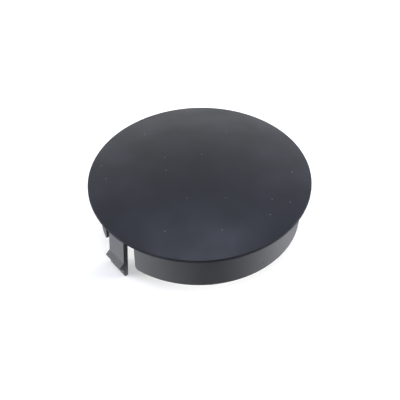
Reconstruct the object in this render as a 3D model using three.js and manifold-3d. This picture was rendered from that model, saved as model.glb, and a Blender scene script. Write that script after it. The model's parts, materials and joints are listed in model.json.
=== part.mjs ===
// A domed blanking cap that closes an 80 mm cable hole in a desktop: a crowned panel
// on a flange, a skirt that hangs into the hole, and two opposed snap arms that bend
// inwards as their catches pass the hole's wall, then spring out under the desktop.
// Millimetres, +Z up. The origin is under the cap's centre, level with the arms' tips,
// and the flange's seat, which rests on the desktop, is ARM_REACH above it.
import * as THREE from 'three';
import { mergeVertices } from 'three/addons/utils/BufferGeometryUtils.js';
import Module from 'manifold-3d';

const wasm = await Module();
wasm.setup();

// Driving dimensions, in mm, and angles in degrees.
const HOLE_RADIUS = 40;
const SKIRT_PLAY = 0.15;         // radial play between the skirt and the hole
const FLANGE_OVERLAP = 4;        // how far the flange reaches past the hole's edge
const RIM_HEIGHT = 1.24;         // the flange's upright outer edge
const SEAT_RING_HEIGHT = 0.8;    // the flange ring's share of that edge
const SEAT_RING_WIDTH = 6.5;
const EDGE_RADIUS = 0.3;         // rounding where the dome meets the upright edge
const DOME_RISE = 5;             // crown above the upright edge
const PANEL_THICKNESS = 1.8;
const SKIRT_DEPTH = 16.8;
const SKIRT_WALL = 1.3;
const SLOT_WIDTH = 19.56;        // the opening in the skirt that each arm stands in
const SLOT_CORNER_RADIUS = 1.75; // on the skirt's lower corners beside each slot
const DIMPLE_DEPTH = 12.9;       // below the seat, in the middle of each half of the skirt
const DIMPLE_RADIUS = 0.6;
const DIMPLE_SINK = 0.45;        // how far it goes into the skirt's outer face
const ARM_AZIMUTH = -54.2;       // the left arm's, turned from the front (-Y) towards +X
const ARM_COUNT = 2;
const ARM_REACH = 24;            // from the seat down to the arms' tips
const ARM_WIDTH = 10;
const ARM_THICKNESS = 2;
const ARM_LEAN = 2.9;            // outwards, from the root down
const ARM_ROOT_RADIUS = 39.8;    // outer face at the seat
const ROOT_HEIGHT = 1.2;         // the fixed stub that each arm bends below
const ROOT_GUSSET = 0.2;         // how much wider the stub is at the seat
const BEND_GAP = 0.3;            // free height between the stub and the arm
const TIP_CHAMFER_HEIGHT = 2.4;
const TIP_CHAMFER_DEPTH = 0.5;
const CATCH_TOP_DEPTH = 16.7;    // below the seat, like the next two
const CATCH_TIP_DEPTH = 18.5;
const CATCH_FOOT_DEPTH = 20.6;
const CATCH_REACH = 1.83;        // how far the catch stands out of the arm
const CATCH_BLUNT = 0.2;         // flat on the catch's tip
const GATE_AZIMUTH = 5;          // the broken-off moulding gate on the front skirt's edge
const GATE_RADIUS = 0.6;
const GATE_HEIGHT = 0.4;

const ROUND_SEGMENTS = 96;
const SMALL_SEGMENTS = 16;
const DOME_STEPS = 9;
const CORNER_STEPS = 5;

// Sizes that follow.
const FLANGE_RADIUS = HOLE_RADIUS + FLANGE_OVERLAP;
const SKIRT_RADIUS = HOLE_RADIUS - SKIRT_PLAY;
const SEAT_Z = ARM_REACH;
const PANEL_Z = SEAT_Z + SEAT_RING_HEIGHT;
const RIM_TOP_Z = SEAT_Z + RIM_HEIGHT;
const SKIRT_BOTTOM_Z = SEAT_Z - SKIRT_DEPTH;
const ARM_NAMES = ['left', 'right'];

const plastic = { color: 0x2c2d30, roughness: 0.5, metalness: 0 };

function material() {
  return new THREE.MeshStandardMaterial(plastic);
}

function degrees(angle) {
  return THREE.MathUtils.degToRad(angle);
}

// A closed outline of [radius, height] pairs, anticlockwise, turned about the Z axis.
function revolve(outline) {
  const points = outline.map(([radius, height]) => new THREE.Vector2(radius, height));
  return new THREE.LatheGeometry(points, ROUND_SEGMENTS).rotateX(Math.PI / 2);
}

function solidOf(geometry) {
  const bare = geometry.clone();
  bare.deleteAttribute('normal');
  bare.deleteAttribute('uv');
  const merged = mergeVertices(bare, 1e-4);
  return new wasm.Manifold(new wasm.Mesh({
    numProp: 3,
    vertProperties: new Float32Array(merged.attributes.position.array),
    triVerts: new Uint32Array(merged.index.array),
  }));
}

function geometryOf(solid) {
  const { vertProperties, triVerts } = solid.getMesh();
  const geometry = new THREE.BufferGeometry();
  geometry.setAttribute('position', new THREE.BufferAttribute(vertProperties, 3));
  geometry.setIndex(new THREE.BufferAttribute(triVerts, 1));
  geometry.computeVertexNormals();
  return geometry;
}

function named(name, geometry) {
  const mesh = new THREE.Mesh(geometry, material());
  mesh.name = name;
  return mesh;
}

// The arms' local frame: -Y points out of the cap, X runs along the arm's width.
// An outline of [distance from the axis, height] pairs becomes a bar across the arm.
function barAcrossArm(outline) {
  const shape = new THREE.Shape(outline.map(([out, height]) => new THREE.Vector2(out, height)));
  const bar = new THREE.ExtrudeGeometry(shape, { depth: ARM_WIDTH, bevelEnabled: false });
  const frame = new THREE.Matrix4().makeBasis(
    new THREE.Vector3(0, -1, 0),
    new THREE.Vector3(0, 0, 1),
    new THREE.Vector3(-1, 0, 0),
  );
  return bar.translate(0, 0, -ARM_WIDTH / 2).applyMatrix4(frame);
}

function armOuterFace(depth) {
  return ARM_ROOT_RADIUS + depth * Math.tan(degrees(ARM_LEAN));
}

// The dome is part of a sphere that ends at the flange's edge.
const domeBase = FLANGE_RADIUS - EDGE_RADIUS;
const domeRadius = (domeBase ** 2 + DOME_RISE ** 2) / (2 * DOME_RISE);
const domeCentreZ = RIM_TOP_Z + DOME_RISE - domeRadius;

function domeArc(radius, fromX, toX) {
  return Array.from({ length: DOME_STEPS + 1 }, (_, step) => {
    const x = fromX + (toX - fromX) * step / DOME_STEPS;
    return [x, domeCentreZ + Math.sqrt(radius ** 2 - x ** 2)];
  });
}

function buildDomePanel() {
  const innerRadius = domeRadius - PANEL_THICKNESS;
  const hollowEdge = Math.sqrt(innerRadius ** 2 - (PANEL_Z - domeCentreZ) ** 2);
  return revolve([
    ...domeArc(innerRadius, 0, hollowEdge),
    [FLANGE_RADIUS, PANEL_Z],
    [FLANGE_RADIUS, RIM_TOP_Z - EDGE_RADIUS],
    ...domeArc(domeRadius, domeBase, 0),
  ]);
}

// The ring's underside has an edge round the skirt, so that the seat outside it is a
// flat face of its own.
function buildSeatRing() {
  const inner = FLANGE_RADIUS - SEAT_RING_WIDTH;
  return revolve([
    [inner, SEAT_Z],
    [SKIRT_RADIUS, SEAT_Z],
    [FLANGE_RADIUS, SEAT_Z],
    [FLANGE_RADIUS, PANEL_Z],
    [inner, PANEL_Z],
    [inner, SEAT_Z],
  ]);
}

// A slot cutter in the arms' local frame: straight walls, and rounded corners that
// leave the skirt's lower corners convex.
function buildSlotCutter() {
  const half = SLOT_WIDTH / 2;
  const radius = SLOT_CORNER_RADIUS;
  const bottom = SKIRT_BOTTOM_Z;
  const shape = new THREE.Shape();
  shape.moveTo(-half - radius, bottom - 1);
  shape.lineTo(half + radius, bottom - 1);
  shape.lineTo(half + radius, bottom);
  shape.absarc(half + radius, bottom + radius, radius, -Math.PI / 2, -Math.PI, true);
  shape.lineTo(half, SEAT_Z + 1);
  shape.lineTo(-half, SEAT_Z + 1);
  shape.absarc(-half - radius, bottom + radius, radius, 0, -Math.PI / 2, true);
  const across = { depth: FLANGE_RADIUS, bevelEnabled: false, curveSegments: CORNER_STEPS };
  const cutter = new THREE.ExtrudeGeometry(shape, across);
  const frame = new THREE.Matrix4().makeBasis(
    new THREE.Vector3(1, 0, 0),
    new THREE.Vector3(0, 0, 1),
    new THREE.Vector3(0, -1, 0),
  );
  return cutter.applyMatrix4(frame);
}

// A drill for the dimple in one half of the skirt, square to its outer face.
function buildDimpleCutter() {
  const length = 2 * DIMPLE_SINK;
  return new THREE.CylinderGeometry(DIMPLE_RADIUS, DIMPLE_RADIUS, length, SMALL_SEGMENTS)
    .translate(0, -SKIRT_RADIUS, SEAT_Z - DIMPLE_DEPTH)
    .rotateZ(Math.PI / 2);
}

function buildSkirtArcs() {
  const inner = SKIRT_RADIUS - SKIRT_WALL;
  let tube = solidOf(revolve([
    [inner, SKIRT_BOTTOM_Z],
    [SKIRT_RADIUS, SKIRT_BOTTOM_Z],
    [SKIRT_RADIUS, SEAT_Z],
    [inner, SEAT_Z],
    [inner, SKIRT_BOTTOM_Z],
  ]));
  for (let index = 0; index < ARM_COUNT; index += 1) {
    tube = tube.subtract(solidOf(buildSlotCutter().rotateZ(armAngle(index))));
    tube = tube.subtract(solidOf(buildDimpleCutter().rotateZ(armAngle(index))));
  }
  // One half space on each side of the plane that both slots lie on.
  const size = 4 * FLANGE_RADIUS;
  const halfSpace = new THREE.BoxGeometry(size, size, size).translate(size / 2, 0, 0);
  return ['front', 'rear'].map((side, index) => {
    const half = solidOf(halfSpace.clone().rotateZ(armAngle(0) + index * Math.PI));
    return named(`skirt_${side}`, geometryOf(tube.intersect(half)));
  });
}

function armAngle(index) {
  return degrees(ARM_AZIMUTH + index * 360 / ARM_COUNT);
}

function buildArmRoot() {
  const inner = ARM_ROOT_RADIUS - ARM_THICKNESS;
  const foot = SEAT_Z - ROOT_HEIGHT;
  return barAcrossArm([
    [inner, foot],
    [armOuterFace(ROOT_HEIGHT), foot],
    [ARM_ROOT_RADIUS, SEAT_Z],
    [inner - ROOT_GUSSET, SEAT_Z],
  ]);
}

function buildSnapArm() {
  const topDepth = ROOT_HEIGHT + BEND_GAP;
  const chamferDepth = ARM_REACH - TIP_CHAMFER_HEIGHT;
  return barAcrossArm([
    [armOuterFace(topDepth) - ARM_THICKNESS, SEAT_Z - topDepth],
    [armOuterFace(ARM_REACH) - ARM_THICKNESS, 0],
    [armOuterFace(ARM_REACH) - TIP_CHAMFER_DEPTH, 0],
    [armOuterFace(chamferDepth), SEAT_Z - chamferDepth],
    [armOuterFace(topDepth), SEAT_Z - topDepth],
  ]);
}

function buildCatch() {
  const tipOut = armOuterFace(CATCH_TIP_DEPTH) + CATCH_REACH;
  return barAcrossArm([
    [armOuterFace(CATCH_FOOT_DEPTH), SEAT_Z - CATCH_FOOT_DEPTH],
    [tipOut, SEAT_Z - CATCH_TIP_DEPTH - CATCH_BLUNT / 2],
    [tipOut, SEAT_Z - CATCH_TIP_DEPTH + CATCH_BLUNT / 2],
    [armOuterFace(CATCH_TOP_DEPTH), SEAT_Z - CATCH_TOP_DEPTH],
  ]);
}

function buildGateStub() {
  const middle = SKIRT_RADIUS - SKIRT_WALL / 2;
  return new THREE.CylinderGeometry(GATE_RADIUS, GATE_RADIUS, GATE_HEIGHT, SMALL_SEGMENTS)
    .rotateX(Math.PI / 2)
    .translate(0, -middle, SKIRT_BOTTOM_Z - GATE_HEIGHT / 2)
    .rotateZ(degrees(GATE_AZIMUTH));
}

const cap = new THREE.Group();
cap.add(named('dome_panel', buildDomePanel()));
cap.add(named('seat_ring', buildSeatRing()));
cap.add(...buildSkirtArcs());
cap.add(named('gate_stub', buildGateStub()));

for (let index = 0; index < ARM_COUNT; index += 1) {
  const arm = new THREE.Group();
  arm.rotation.z = armAngle(index);
  arm.add(named(`arm_root_${ARM_NAMES[index]}`, buildArmRoot()));
  arm.add(named(`snap_arm_${ARM_NAMES[index]}`, buildSnapArm()));
  arm.add(named(`catch_${ARM_NAMES[index]}`, buildCatch()));
  cap.add(arm);
}

export default cap;
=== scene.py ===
"""A domed blanking cap for a desk's cable hole, finished for a studio picture.

The cap is one moulding in dark grey plastic: a crowned panel with a flange, a skirt in
two arcs, and two snap arms that stand in the slots between them. The arms bend at their
roots as their catches pass the hole's wall. Lengths are in metres and +Z is up. The cap
stands on the tips of its arms, at Z 0.
"""

from __future__ import annotations

import json
import logging
import math
import random
from dataclasses import dataclass
from enum import Enum

import bmesh
import bpy
from mathutils import Matrix, Quaternion, Vector

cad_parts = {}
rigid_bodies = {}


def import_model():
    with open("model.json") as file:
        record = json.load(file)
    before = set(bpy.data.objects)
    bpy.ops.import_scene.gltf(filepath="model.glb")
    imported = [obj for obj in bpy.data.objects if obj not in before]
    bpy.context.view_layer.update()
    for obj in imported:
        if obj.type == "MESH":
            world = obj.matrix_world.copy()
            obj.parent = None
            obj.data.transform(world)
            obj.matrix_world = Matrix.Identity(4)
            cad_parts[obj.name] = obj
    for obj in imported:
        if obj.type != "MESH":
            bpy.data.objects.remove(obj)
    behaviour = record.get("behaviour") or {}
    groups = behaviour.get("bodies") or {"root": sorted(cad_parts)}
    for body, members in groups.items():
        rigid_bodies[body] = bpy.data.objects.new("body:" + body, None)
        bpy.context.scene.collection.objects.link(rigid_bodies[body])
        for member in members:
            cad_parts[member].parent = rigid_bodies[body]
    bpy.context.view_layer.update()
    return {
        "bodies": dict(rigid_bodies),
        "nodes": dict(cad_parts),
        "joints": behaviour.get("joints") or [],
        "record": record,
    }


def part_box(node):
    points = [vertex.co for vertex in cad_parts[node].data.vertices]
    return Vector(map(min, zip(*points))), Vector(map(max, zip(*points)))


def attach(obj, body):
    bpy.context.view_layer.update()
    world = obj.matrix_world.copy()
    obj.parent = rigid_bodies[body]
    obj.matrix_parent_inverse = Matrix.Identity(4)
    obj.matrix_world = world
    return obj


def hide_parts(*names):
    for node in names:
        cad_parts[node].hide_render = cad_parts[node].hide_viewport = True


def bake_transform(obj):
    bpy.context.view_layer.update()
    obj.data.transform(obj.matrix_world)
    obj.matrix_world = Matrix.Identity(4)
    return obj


LOG = logging.getLogger("grommet_cap")
MM = 0.001
SHARP_ANGLE = math.radians(38)
MERGE_DISTANCE = 0.0005 * MM
ABS_IOR = 1.52
# Nearly all of a noise texture's values lie between these two.
NOISE_LOW = 0.3
NOISE_HIGH = 0.7

Outline = list[tuple[float, float]]


class Slot(Enum):
    """The record's two finishes."""

    TEXTURED = "textured_plastic"
    SMOOTH = "smooth_plastic"


class Body(Enum):
    """The CAD bodies that the pieces ride on."""

    CAP = "cap"
    ARM_LEFT = "arm_left"
    ARM_RIGHT = "arm_right"


def srgb(code: str) -> tuple[float, float, float, float]:
    """Turns an sRGB hex colour into a linear colour with full alpha.

    Args:
        code: Six hex digits, red first.

    Returns:
        Linear red, green, blue and alpha.
    """
    channels = [int(code[start : start + 2], 16) / 255 for start in (0, 2, 4)]
    red, green, blue = (
        c / 12.92 if c <= 0.04045 else ((c + 0.055) / 1.055) ** 2.4 for c in channels
    )
    return (red, green, blue, 1.0)


def per_metre(millimetres: float) -> float:
    """Gives the texture scale at which one feature is that many millimetres wide."""
    return 1 / (millimetres * MM)


def add_node(
    tree: bpy.types.NodeTree,
    kind: str,
    settings: dict[str, object] | None = None,
    inputs: dict[str | int, object] | None = None,
) -> bpy.types.Node:
    """Adds one node with its settings and links.

    Args:
        tree: The node tree that gets the node.
        kind: Blender's name for the type of node.
        settings: The node's own settings, by name.
        inputs: A plain value, or an output socket to link, for each input by name or number.

    Returns:
        The new node.
    """
    node = tree.nodes.new(kind)
    for name, value in (settings or {}).items():
        setattr(node, name, value)
    for name, value in (inputs or {}).items():
        if isinstance(value, bpy.types.NodeSocket):
            tree.links.new(value, node.inputs[name])
        else:
            node.inputs[name].default_value = value
    return node


def arc(
    centre: tuple[float, float], radius: float, start: float, end: float, steps: int
) -> Outline:
    """Points along a circular arc in the plane of radius and height.

    Args:
        centre: The arc's centre.
        radius: Its radius.
        start: Angle of the first point, in degrees from the outward direction.
        end: Angle of the last point.
        steps: How many chords it's drawn with.

    Returns:
        The points, both ends included.
    """
    angles = [math.radians(start + (end - start) * i / steps) for i in range(steps + 1)]
    return [(centre[0] + radius * math.cos(a), centre[1] + radius * math.sin(a)) for a in angles]


def finished_object(
    bm: bmesh.types.BMesh, name: str, material: bpy.types.Material
) -> bpy.types.Object:
    """Makes an object of a closed mesh, smooth but for its sharp edges.

    Args:
        bm: The mesh, in its place in the cap. It is freed.
        name: The object's name.
        material: Its material.

    Returns:
        The object, linked to the scene, at the origin.
    """
    bmesh.ops.remove_doubles(bm, verts=bm.verts, dist=MERGE_DISTANCE)
    bmesh.ops.recalc_face_normals(bm, faces=bm.faces)
    for face in bm.faces:
        face.smooth = True
    for edge in bm.edges:
        edge.smooth = edge.calc_face_angle(0.0) < SHARP_ANGLE
    mesh = bpy.data.meshes.new(name)
    bm.to_mesh(mesh)
    bm.free()
    mesh.materials.append(material)
    piece = bpy.data.objects.new(name, mesh)
    bpy.context.scene.collection.objects.link(piece)
    # The broad faces keep their own direction, and only the rounded edges turn.
    weighted = piece.modifiers.new("Weighted Normal", "WEIGHTED_NORMAL")
    weighted.keep_sharp = True
    weighted.weight = 100
    return piece


def round_edges(
    bm: bmesh.types.BMesh, edges: list[bmesh.types.BMEdge], radius: float, steps: int
) -> None:
    """Rounds edges of a mesh.

    Args:
        bm: The mesh.
        edges: The edges to round.
        radius: The rounding's radius.
        steps: How many faces it's drawn with.
    """
    bmesh.ops.bevel(
        bm,
        geom=edges,
        offset=radius,
        offset_type="OFFSET",
        segments=steps,
        profile=0.5,
        affect="EDGES",
        material=-1,
    )


def slice_mesh(bm: bmesh.types.BMesh, places: list[float], axis: Vector) -> None:
    """Cuts edge loops into a mesh at places along an axis, so that it can bend there.

    Args:
        bm: The mesh.
        places: Distances from the origin along the axis.
        axis: A unit vector.
    """
    for place in places:
        bmesh.ops.bisect_plane(
            bm,
            geom=[*bm.verts, *bm.edges, *bm.faces],
            dist=MERGE_DISTANCE,
            plane_co=axis * place,
            plane_no=axis,
        )


def outer_faces(bm: bmesh.types.BMesh) -> list[bmesh.types.BMFace]:
    """The faces of a flat strip that face along +Y, which is outwards once it's bent."""
    return [face for face in bm.faces if face.normal.y > 0.9]


def outward(azimuth: float) -> Vector:
    """The direction away from the cap's axis at an azimuth, in radians from the front."""
    return Vector((math.sin(azimuth), -math.cos(azimuth), 0))


@dataclass(frozen=True)
class TexturedPlastic:
    """Moulded ABS with a fine spark-eroded texture, on the face that shows on the desk.

    The texture spreads the gloss, so the eye gets a soft dark grey that pales towards a
    grazing view, with a fine grain, faint smears from handling, and a few specks of dust.
    """

    name: str = "moulded ABS, spark-eroded matt"
    colour: str = "212227"
    smear_colour: str = "282931"
    dust_colour: str = "707377"
    roughness: float = 0.38
    roughness_spread: float = 0.05
    grain_mm: float = 0.45
    grain_depth_mm: float = 0.0025
    smear_mm: float = 14.0
    smear_start: float = 0.35
    dust_spacing_mm: float = 8.0
    dust_radius_mm: float = 0.2
    dust_share: float = 0.25

    def build(self) -> bpy.types.Material:
        """Builds the material.

        Returns:
            The material.
        """
        material = bpy.data.materials.new(self.name)
        material.use_nodes = True
        tree = material.node_tree
        shader = tree.nodes["Principled BSDF"]
        place = add_node(tree, "ShaderNodeTexCoord").outputs["Object"]
        smear = add_node(
            tree,
            "ShaderNodeTexNoise",
            inputs={"Vector": place, "Scale": per_metre(self.smear_mm), "Detail": 3.0},
        )
        smear_share = add_node(
            tree,
            "ShaderNodeMapRange",
            inputs={
                "Value": smear.outputs["Fac"],
                "From Min": self.smear_start,
                "From Max": NOISE_HIGH,
            },
        )
        clean = add_node(
            tree,
            "ShaderNodeMix",
            settings={"data_type": "RGBA"},
            inputs={
                "Factor": smear_share.outputs["Result"],
                "A": srgb(self.colour),
                "B": srgb(self.smear_colour),
            },
        )
        cells = add_node(
            tree,
            "ShaderNodeTexVoronoi",
            settings={"voronoi_dimensions": "2D"},
            inputs={"Vector": place, "Scale": per_metre(self.dust_spacing_mm)},
        )
        speck = add_node(
            tree,
            "ShaderNodeMath",
            settings={"operation": "LESS_THAN"},
            inputs={
                0: cells.outputs["Distance"],
                1: self.dust_radius_mm / self.dust_spacing_mm,
            },
        )
        chosen = add_node(
            tree,
            "ShaderNodeMath",
            settings={"operation": "LESS_THAN"},
            inputs={0: cells.outputs["Color"], 1: self.dust_share},
        )
        dust = add_node(
            tree,
            "ShaderNodeMath",
            settings={"operation": "MULTIPLY"},
            inputs={0: speck.outputs[0], 1: chosen.outputs[0]},
        )
        dusty = add_node(
            tree,
            "ShaderNodeMix",
            settings={"data_type": "RGBA"},
            inputs={
                "Factor": dust.outputs[0],
                "A": clean.outputs["Result"],
                "B": srgb(self.dust_colour),
            },
        )
        roughness = add_node(
            tree,
            "ShaderNodeMapRange",
            inputs={
                "Value": smear.outputs["Fac"],
                "From Min": NOISE_LOW,
                "From Max": NOISE_HIGH,
                "To Min": self.roughness + self.roughness_spread,
                "To Max": self.roughness - self.roughness_spread,
            },
        )
        grain = add_node(
            tree,
            "ShaderNodeTexNoise",
            inputs={"Vector": place, "Scale": per_metre(self.grain_mm), "Detail": 2.0},
        )
        bump = add_node(
            tree,
            "ShaderNodeBump",
            inputs={
                "Height": grain.outputs["Fac"],
                "Distance": self.grain_depth_mm * MM,
                "Strength": 1.0,
            },
        )
        tree.links.new(dusty.outputs["Result"], shader.inputs["Base Color"])
        tree.links.new(roughness.outputs["Result"], shader.inputs["Roughness"])
        tree.links.new(bump.outputs["Normal"], shader.inputs["Normal"])
        shader.inputs["IOR"].default_value = ABS_IOR
        return material


@dataclass(frozen=True)
class SmoothPlastic:
    """Moulded ABS off a plain tool face, on the parts that go into the desk.

    It has more gloss than the textured face, so the skirt shows broad soft reflections
    that pale towards its sides, over the faint scoring of the tool's face.
    """

    name: str = "moulded ABS, satin"
    colour: str = "404144"
    worn_colour: str = "454547"
    roughness: float = 0.32
    roughness_spread: float = 0.03
    scoring_mm: float = 0.5
    scoring_depth_mm: float = 0.001
    patch_mm: float = 7.0

    def build(self) -> bpy.types.Material:
        """Builds the material.

        Returns:
            The material.
        """
        material = bpy.data.materials.new(self.name)
        material.use_nodes = True
        tree = material.node_tree
        shader = tree.nodes["Principled BSDF"]
        place = add_node(tree, "ShaderNodeTexCoord").outputs["Object"]
        patch = add_node(
            tree,
            "ShaderNodeTexNoise",
            inputs={"Vector": place, "Scale": per_metre(self.patch_mm), "Detail": 3.0},
        )
        colour = add_node(
            tree,
            "ShaderNodeMix",
            settings={"data_type": "RGBA"},
            inputs={
                "Factor": patch.outputs["Fac"],
                "A": srgb(self.colour),
                "B": srgb(self.worn_colour),
            },
        )
        roughness = add_node(
            tree,
            "ShaderNodeMapRange",
            inputs={
                "Value": patch.outputs["Fac"],
                "From Min": NOISE_LOW,
                "From Max": NOISE_HIGH,
                "To Min": self.roughness - self.roughness_spread,
                "To Max": self.roughness + self.roughness_spread,
            },
        )
        scoring = add_node(
            tree,
            "ShaderNodeTexNoise",
            inputs={"Vector": place, "Scale": per_metre(self.scoring_mm), "Detail": 2.0},
        )
        bump = add_node(
            tree,
            "ShaderNodeBump",
            inputs={
                "Height": scoring.outputs["Fac"],
                "Distance": self.scoring_depth_mm * MM,
                "Strength": 1.0,
            },
        )
        tree.links.new(colour.outputs["Result"], shader.inputs["Base Color"])
        tree.links.new(roughness.outputs["Result"], shader.inputs["Roughness"])
        tree.links.new(bump.outputs["Normal"], shader.inputs["Normal"])
        shader.inputs["IOR"].default_value = ABS_IOR
        return material


@dataclass(frozen=True)
class WhitePaper:
    """Matt white paper for the floor, with a faint glow that makes it a plain pale ground."""

    name: str = "white paper"
    colour: str = "f4f4f4"
    glow: float = 0.22

    def build(self) -> bpy.types.Material:
        """Builds the material.

        Returns:
            The material.
        """
        material = bpy.data.materials.new(self.name)
        material.use_nodes = True
        shader = material.node_tree.nodes["Principled BSDF"]
        shader.inputs["Base Color"].default_value = srgb(self.colour)
        shader.inputs["Roughness"].default_value = 1.0
        shader.inputs["Specular IOR Level"].default_value = 0.0
        shader.inputs["Emission Color"].default_value = srgb(self.colour)
        shader.inputs["Emission Strength"].default_value = self.glow
        # So large and faint a light gives less noise when rays only meet it by chance.
        material.cycles.emission_sampling = "NONE"
        return material


@dataclass(frozen=True)
class CapLevels:
    """The heights and radii that the pieces share, read from the CAD nodes.

    Attributes:
        seat: Height of the flange's seat on the desktop.
        crown: Height of the dome's highest point.
        flange_radius: Outer radius of the flange.
        skirt_radius: Outer radius of the skirt.
        skirt_bottom: Height of the skirt's lower edge.
    """

    seat: float
    crown: float
    flange_radius: float
    skirt_radius: float
    skirt_bottom: float

    @classmethod
    def from_frame(cls) -> CapLevels:
        """Reads the levels from the CAD nodes' boxes."""
        ring_low, ring_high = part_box("seat_ring")
        skirt_low, skirt_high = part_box("skirt_front")
        return cls(
            seat=ring_low.z,
            crown=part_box("dome_panel")[1].z,
            flange_radius=ring_high.x,
            skirt_radius=skirt_high.x,
            skirt_bottom=skirt_low.z,
        )


@dataclass
class CrownedPanel:
    """The domed panel and the flange round its edge, turned as one shell."""

    levels: CapLevels
    material: bpy.types.Material
    rim_height: float = 1.24 * MM
    upper_edge_radius: float = 0.35 * MM
    lower_edge_radius: float = 0.2 * MM
    thickness: float = 1.8 * MM
    ring_width: float = 6.5 * MM
    ring_edge_radius: float = 0.25 * MM
    spin_steps: int = 256
    dome_steps: int = 28
    edge_steps: int = 5

    def outline(self) -> Outline:
        """The shell's section, from the hollow's top on the axis round to the crown.

        Returns:
            Pairs of radius and height.
        """
        seat, crown, flange = self.levels.seat, self.levels.crown, self.levels.flange_radius
        edge, low_edge, ring_edge = (
            self.upper_edge_radius,
            self.lower_edge_radius,
            self.ring_edge_radius,
        )
        base, rise = flange - edge, crown - seat - self.rim_height
        dome = (base**2 + rise**2) / (2 * rise)
        centre = crown - dome
        ring_inner = flange - self.ring_width
        hollow = dome - self.thickness
        hollow_edge = math.asin(ring_inner / hollow)
        edge_height = centre + math.sqrt((dome - edge) ** 2 - base**2)
        dome_edge = math.degrees(math.atan2(edge_height - centre, base))
        return [
            *arc((0, centre), hollow, 90, 90 - math.degrees(hollow_edge), self.dome_steps),
            *arc((ring_inner + ring_edge, seat + ring_edge), ring_edge, 180, 270, self.edge_steps),
            *arc((flange - low_edge, seat + low_edge), low_edge, -90, 0, self.edge_steps),
            *arc((base, edge_height), edge, 0, dome_edge, self.edge_steps),
            *arc((0, centre), dome, dome_edge, 90, self.dome_steps)[1:],
        ]

    def build(self) -> bpy.types.Object:
        """Spins the section into the shell.

        Returns:
            The shell.
        """
        bm = bmesh.new()
        corners = [bm.verts.new((0, -radius, height)) for radius, height in self.outline()]
        edges = [bm.edges.new(pair) for pair in zip(corners, corners[1:])]
        bmesh.ops.spin(
            bm,
            geom=[*corners, *edges],
            cent=(0, 0, 0),
            axis=(0, 0, 1),
            angle=math.tau,
            steps=self.spin_steps,
            use_merge=True,
        )
        panel = finished_object(bm, "crowned_panel", self.material)
        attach(panel, Body.CAP.value)
        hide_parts("dome_panel", "seat_ring")
        return panel


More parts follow.
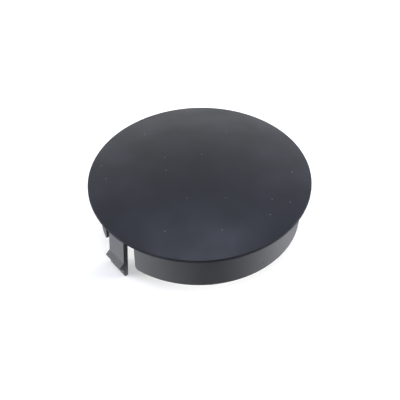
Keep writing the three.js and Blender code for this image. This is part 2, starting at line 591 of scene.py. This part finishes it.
@dataclass
class SkirtArc:
    """One half of the skirt, shaped as a flat strip and then bent round the axis.

    Attributes:
        name: The piece's name.
        middle: Azimuth of the arc's middle, in radians from the front.
    """

    levels: CapLevels
    material: bpy.types.Material
    name: str
    middle: float
    wall: float = 1.3 * MM
    slot_width: float = 19.56 * MM
    corner_radius: float = 1.75 * MM
    corner_steps: int = 8
    edge_radius: float = 0.14 * MM
    edge_steps: int = 3
    bend_steps: int = 120
    overlap: float = 0.2 * MM
    dimple_depth_below_seat: float = 12.9 * MM
    dimple_radius: float = 0.7 * MM
    dimple_depth: float = 0.8 * MM
    dimple_lip: float = 0.12 * MM
    dimple_cuts: int = 4
    # Each step inwards in lips, and its share of the depth.
    dimple_profile: tuple[tuple[float, float], ...] = ((0.5, 0.1), (0.5, 0.5), (1.0, 0.3), (1.5, 0.1))

    def half_angle(self, radius: float) -> float:
        """The angle from the arc's middle to its straight-sided slot, at one radius."""
        return math.pi / 2 - math.asin(self.slot_width / 2 / radius)

    def build(self) -> bpy.types.Object:
        """Builds the arc, with its rounded lower corners and its dimple.

        Returns:
            The arc.
        """
        levels = self.levels
        half_length = levels.skirt_radius * self.half_angle(levels.skirt_radius)
        top = levels.seat + self.overlap
        bm = bmesh.new()
        bmesh.ops.create_cube(bm, size=1)
        bmesh.ops.scale(
            bm, vec=(2 * half_length, self.wall, top - levels.skirt_bottom), verts=bm.verts
        )
        middle_height = (top + levels.skirt_bottom) / 2
        bmesh.ops.translate(bm, vec=(0, -self.wall / 2, middle_height), verts=bm.verts)
        self.round_strip(bm, top)
        self.sink_dimple(bm)
        slice_mesh(
            bm,
            [half_length * (2 * step / self.bend_steps - 1) for step in range(1, self.bend_steps)],
            Vector((1, 0, 0)),
        )
        for vert in bm.verts:
            radius = levels.skirt_radius + vert.co.y
            angle = self.middle + vert.co.x / half_length * self.half_angle(radius)
            vert.co = outward(angle) * radius + Vector((0, 0, vert.co.z))
        skirt = finished_object(bm, self.name, self.material)
        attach(skirt, Body.CAP.value)
        return skirt

    def round_strip(self, bm: bmesh.types.BMesh, top: float) -> None:
        """Rounds the flat strip's lower corners, then all its edges but those at the top."""
        bottom = self.levels.skirt_bottom
        corners = [
            edge
            for edge in bm.edges
            if all(math.isclose(v.co.z, bottom, abs_tol=MERGE_DISTANCE) for v in edge.verts)
            and math.isclose(edge.verts[0].co.x, edge.verts[1].co.x, abs_tol=MERGE_DISTANCE)
        ]
        round_edges(bm, corners, self.corner_radius, self.corner_steps)
        sharp = [
            edge
            for edge in bm.edges
            if edge.calc_face_angle(0.0) > SHARP_ANGLE
            and not all(math.isclose(v.co.z, top, abs_tol=MERGE_DISTANCE) for v in edge.verts)
        ]
        round_edges(bm, sharp, self.edge_radius, self.edge_steps)

    def sink_dimple(self, bm: bmesh.types.BMesh) -> None:
        """Sinks a small round dimple into the middle of the strip's outer face."""
        centre = Vector((0, 0, self.levels.seat - self.dimple_depth_below_seat))
        reach = self.dimple_radius + 3 * self.dimple_lip
        face = max(outer_faces(bm), key=lambda f: f.calc_area())
        for normal in ((1, 0, 0), (-1, 0, 0), (0, 0, 1), (0, 0, -1)):
            side = Vector(normal)
            bmesh.ops.bisect_plane(
                bm,
                geom=[face, *face.edges, *face.verts],
                dist=MERGE_DISTANCE,
                plane_co=centre + side * reach,
                plane_no=side,
            )
            face = min(
                outer_faces(bm), key=lambda f: (f.calc_center_bounds() - centre).length
            )
        bmesh.ops.inset_region(bm, faces=[face], thickness=self.dimple_lip)
        bmesh.ops.subdivide_edges(bm, edges=list(face.edges), cuts=self.dimple_cuts)
        rim = self.dimple_radius + self.dimple_lip
        for vert in face.verts:
            vert.co = centre + (vert.co - centre).normalized() * rim
        for inset, sink in self.dimple_profile:
            bmesh.ops.inset_region(
                bm,
                faces=[face],
                thickness=self.dimple_lip * inset,
                depth=-self.dimple_depth * sink,
            )


@dataclass
class SnapArm:
    """A flat snap arm with its root and its catch, moulded in one.

    Attributes:
        side: The word for the arm's side in the names of its nodes, body and joint.
        body: The CAD body of the arm below its root. It is not used.
        azimuth: Direction of the arm from the axis, in radians from the front.
    """

    levels: CapLevels
    material: bpy.types.Material
    side: str
    body: Body
    azimuth: float
    width: float = 10 * MM
    thickness: float = 2 * MM
    lean: float = math.radians(2.9)
    root_radius: float = 39.8 * MM
    root_gusset: float = 0.2 * MM
    root_height: float = 1.2 * MM
    chamfer_height: float = 2.4 * MM
    chamfer_depth: float = 0.5 * MM
    catch_top: float = 16.7 * MM
    catch_tip: float = 18.5 * MM
    catch_foot: float = 20.6 * MM
    catch_reach: float = 1.83 * MM
    catch_blunt: float = 0.2 * MM
    edge_radius: float = 0.12 * MM
    edge_steps: int = 2
    least_rounded_angle: float = math.radians(8)
    overlap: float = 0.2 * MM
    bend_length: float = 9 * MM
    bend_steps: int = 18

    def outer_face(self, depth: float) -> float:
        """Distance of the arm's outer face from the axis, at a depth below the seat."""
        return self.root_radius + depth * math.tan(self.lean)

    def outline(self) -> Outline:
        """The arm's section, from its root's inner corner down and round the catch.

        Returns:
            Pairs of distance from the axis and height.
        """
        seat = self.levels.seat
        inner_root = self.root_radius - self.thickness
        tip = self.outer_face(self.catch_tip) + self.catch_reach
        chamfer = seat - self.chamfer_height
        return [
            (inner_root - self.root_gusset, seat + self.overlap),
            (inner_root - self.root_gusset, seat),
            (self.outer_face(self.root_height) - self.thickness, seat - self.root_height),
            (self.outer_face(seat) - self.thickness, 0),
            (self.outer_face(seat) - self.chamfer_depth, 0),
            (self.outer_face(chamfer), self.chamfer_height),
            (self.outer_face(self.catch_foot), seat - self.catch_foot),
            (tip, seat - self.catch_tip - self.catch_blunt / 2),
            (tip, seat - self.catch_tip + self.catch_blunt / 2),
            (self.outer_face(self.catch_top), seat - self.catch_top),
            (self.root_radius, seat),
            (self.root_radius, seat + self.overlap),
        ]

    def build(self) -> bpy.types.Object:
        """Builds the arm, with edge loops cut across it near its root.

        Returns:
            The arm.
        """
        bm = bmesh.new()
        corners = [bm.verts.new((-self.width / 2, -out, up)) for out, up in self.outline()]
        section = bm.faces.new(corners)
        swept = bmesh.ops.extrude_face_region(bm, geom=[section])["geom"]
        moved = [item for item in swept if isinstance(item, bmesh.types.BMVert)]
        bmesh.ops.translate(bm, vec=(self.width, 0, 0), verts=moved)
        bmesh.ops.recalc_face_normals(bm, faces=bm.faces)
        seat = self.levels.seat
        sharp = [
            edge
            for edge in bm.edges
            if edge.calc_face_angle(0.0) > self.least_rounded_angle
            and min(v.co.z for v in edge.verts) < seat - MERGE_DISTANCE
        ]
        round_edges(bm, sharp, self.edge_radius, self.edge_steps)
        step = self.bend_length / self.bend_steps
        slice_mesh(
            bm, [seat - step * count for count in range(1, self.bend_steps + 1)], Vector((0, 0, 1))
        )
        bmesh.ops.rotate(bm, matrix=Matrix.Rotation(self.azimuth, 3, "Z"), verts=bm.verts)
        arm = finished_object(bm, f"snap_arm_with_catch_{self.side}", self.material)
        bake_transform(arm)
        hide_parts(f"arm_root_{self.side}", f"snap_arm_{self.side}", f"catch_{self.side}")
        return arm


@dataclass
class GateStub:
    """What is left on the skirt's lower edge where the moulding was broken off its gate."""

    levels: CapLevels
    material: bpy.types.Material
    radius: float = 0.6 * MM
    tear_radius: float = 0.42 * MM
    roughness: float = 0.07 * MM
    root: float = 0.15 * MM
    segments: int = 20
    seed: int = 5

    def build(self) -> bpy.types.Object:
        """Builds the stub, torn at its end.

        Returns:
            The stub.
        """
        low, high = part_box("gate_stub")
        centre = (low + high) / 2
        length = high.z - low.z + self.root
        bm = bmesh.new()
        bmesh.ops.create_cone(
            bm,
            segments=self.segments,
            radius1=self.tear_radius,
            radius2=self.radius,
            depth=length,
            cap_ends=True,
        )
        torn = min(bm.faces, key=lambda face: face.calc_center_median().z)
        bmesh.ops.inset_region(bm, faces=[torn], thickness=self.tear_radius / 3)
        bmesh.ops.inset_region(bm, faces=[torn], thickness=self.tear_radius / 3)
        chance = random.Random(self.seed)
        for vert in bm.verts:
            if vert.co.z < 0:
                vert.co.z += chance.uniform(0, self.roughness)
        bmesh.ops.translate(bm, vec=(centre.x, centre.y, low.z + length / 2), verts=bm.verts)
        stub = finished_object(bm, "broken_gate_stub", self.material)
        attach(stub, Body.CAP.value)
        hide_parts("gate_stub")
        return stub


@dataclass
class GrommetCap:
    """The whole cap: the panel, the two skirt arcs, the two arms and the gate stub."""

    frame: dict

    def arm_azimuth(self, side: str) -> float:
        """The direction that an arm faces, from the axis of the joint at its root."""
        joint = next(j for j in self.frame["joints"] if j["name"] == f"arm_{side}_bend")
        return math.atan2(joint["axis"][1], joint["axis"][0])

    def build(self) -> list[bpy.types.Object]:
        """Builds every piece of the cap.

        Returns:
            The pieces.
        """
        levels = CapLevels.from_frame()
        textured = TexturedPlastic().build()
        smooth = SmoothPlastic().build()
        front = self.arm_azimuth("left") + math.pi / 2
        pieces = [CrownedPanel(levels, textured).build()]
        for name, middle in (("skirt_front", front), ("skirt_rear", front + math.pi)):
            skirt = SkirtArc(levels, smooth, f"{name}_wall", middle).build()
            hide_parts(name)
            pieces.append(skirt)
        for side, body in (("left", Body.ARM_LEFT), ("right", Body.ARM_RIGHT)):
            pieces.append(SnapArm(levels, smooth, side, body, self.arm_azimuth(side)).build())
        pieces.append(GateStub(levels, smooth).build())
        return pieces


@dataclass(frozen=True)
class SoftBox:
    """A rectangular soft light that is aimed at the cap.

    Attributes:
        name: The light's name.
        azimuth: Where it stands, in degrees from the front, towards +X.
        elevation: Its height above the floor, in degrees.
        distance: Its distance from the cap.
        width: Its width, level with the floor.
        height: Its other side.
        power: Its power in watts.
        tint: Its colour.
        mirrored: Whether shiny surfaces show its reflection.
    """

    name: str
    azimuth: float
    elevation: float
    distance: float
    width: float
    height: float
    power: float
    tint: str = "ffffff"
    mirrored: bool = True

    def build(self, target: Vector) -> bpy.types.Object:
        """Hangs the light.

        Args:
            target: The point that it's aimed at.

        Returns:
            The light.
        """
        light = bpy.data.lights.new(self.name, "AREA")
        light.shape = "RECTANGLE"
        light.size = self.width
        light.size_y = self.height
        light.energy = self.power
        light.color = srgb(self.tint)[:3]
        lamp = bpy.data.objects.new(self.name, light)
        lamp.visible_camera = False
        # A strip that stands level with the skirt would turn its sides to silver.
        lamp.visible_glossy = self.mirrored
        rise = math.radians(self.elevation)
        away = outward(math.radians(self.azimuth)) * math.cos(rise) + Vector((0, 0, math.sin(rise)))
        lamp.location = target + away * self.distance
        lamp.rotation_mode = "QUATERNION"
        lamp.rotation_quaternion = (-away).to_track_quat("-Z", "Y")
        bpy.context.scene.collection.objects.link(lamp)
        return lamp


@dataclass
class Studio:
    """The paper floor, the soft lights and the camera."""

    target: Vector
    camera_elevation: float = 44.08
    camera_distance: float = 0.484
    camera_roll: float = -1.334
    lens: float = 109.0
    floor_size: float = 1.2
    room_light: float = 0.03
    wall_brightness: float = 1.0
    lights: tuple[SoftBox, ...] = (
        SoftBox(
            name="left_strip",
            azimuth=-98,
            elevation=3.6,
            distance=0.7,
            width=0.8,
            height=0.1,
            power=28.0,
            mirrored=False,
        ),
        SoftBox(
            name="right_strip",
            azimuth=107,
            elevation=3.6,
            distance=0.7,
            width=0.6,
            height=0.1,
            power=36.0,
            mirrored=False,
        ),
        SoftBox(
            name="back_strip",
            azimuth=180,
            elevation=11.8,
            distance=0.72,
            width=1.2,
            height=0.3,
            power=1.5,
        ),
        SoftBox(
            name="middle_softbox",
            azimuth=180,
            elevation=38,
            distance=0.9,
            width=0.9,
            height=0.4,
            power=0.6,
        ),
        SoftBox(
            name="overhead_softbox",
            azimuth=180,
            elevation=70,
            distance=2.0,
            width=0.9,
            height=0.5,
            power=5.5,
            tint="dfe8ff",
        ),
        SoftBox(
            name="front_softbox",
            azimuth=0,
            elevation=74,
            distance=1.2,
            width=0.7,
            height=0.7,
            power=5.0,
            tint="dfe8ff",
        ),
    )

    def build(self) -> None:
        """Sets up the floor, the lights, the camera and the way that colours are shown."""
        self.lay_floor()
        for box in self.lights:
            box.build(self.target)
        scene = bpy.context.scene
        scene.view_settings.view_transform = "Standard"
        scene.world = self.build_room()
        self.place_camera()

    def build_room(self) -> bpy.types.World:
        """Builds a dim room whose far wall looks pale to the camera.

        Returns:
            The room.
        """
        room = bpy.data.worlds.new("room")
        room.use_nodes = True
        tree = room.node_tree
        seen = add_node(tree, "ShaderNodeLightPath")
        strength = add_node(
            tree,
            "ShaderNodeMapRange",
            inputs={
                "Value": seen.outputs["Is Camera Ray"],
                "To Min": self.room_light,
                "To Max": self.wall_brightness,
            },
        )
        background = tree.nodes["Background"]
        background.inputs["Color"].default_value = (1, 1, 1, 1)
        tree.links.new(strength.outputs["Result"], background.inputs["Strength"])
        return room

    def lay_floor(self) -> None:
        """Lays the floor, level with the tips of the cap's arms."""
        bm = bmesh.new()
        bmesh.ops.create_grid(bm, x_segments=1, y_segments=1, size=self.floor_size / 2)
        mesh = bpy.data.meshes.new("floor")
        bm.to_mesh(mesh)
        bm.free()
        mesh.materials.append(WhitePaper().build())
        floor = bpy.data.objects.new("floor", mesh)
        bpy.context.scene.collection.objects.link(floor)
        # The satin skirt would mirror the paper, and lose its dark middle.
        floor.visible_glossy = False

    def place_camera(self) -> None:
        """Places the camera in front of the cap and above it."""
        camera = bpy.data.cameras.new("camera")
        camera.lens = self.lens
        camera.clip_start = 0.01
        holder = bpy.data.objects.new("camera", camera)
        rise = math.radians(self.camera_elevation)
        away = Vector((0, -math.cos(rise), math.sin(rise)))
        roll = Quaternion((0, 0, 1), math.radians(self.camera_roll))
        holder.location = self.target + away * self.camera_distance
        holder.rotation_mode = "QUATERNION"
        holder.rotation_quaternion = (-away).to_track_quat("-Z", "Y") @ roll
        bpy.context.scene.collection.objects.link(holder)
        bpy.context.scene.camera = holder


def corners(bounds: tuple[Vector, Vector]) -> list[list[float]]:
    """Turns a box's two corners into plain lists of numbers."""
    return [[float(value) for value in corner] for corner in bounds]


def main() -> None:
    """Builds the cap round its CAD frame, then the studio."""
    logging.basicConfig(level=logging.INFO, format="%(name)s: %(message)s")
    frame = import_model()
    for piece in GrommetCap(frame).build():
        LOG.info("%s: %d faces", piece.name, len(piece.data.polygons))
    Studio(target=Vector((0, 0, 13.74)) * MM).build()


if __name__ == "__main__":
    main()
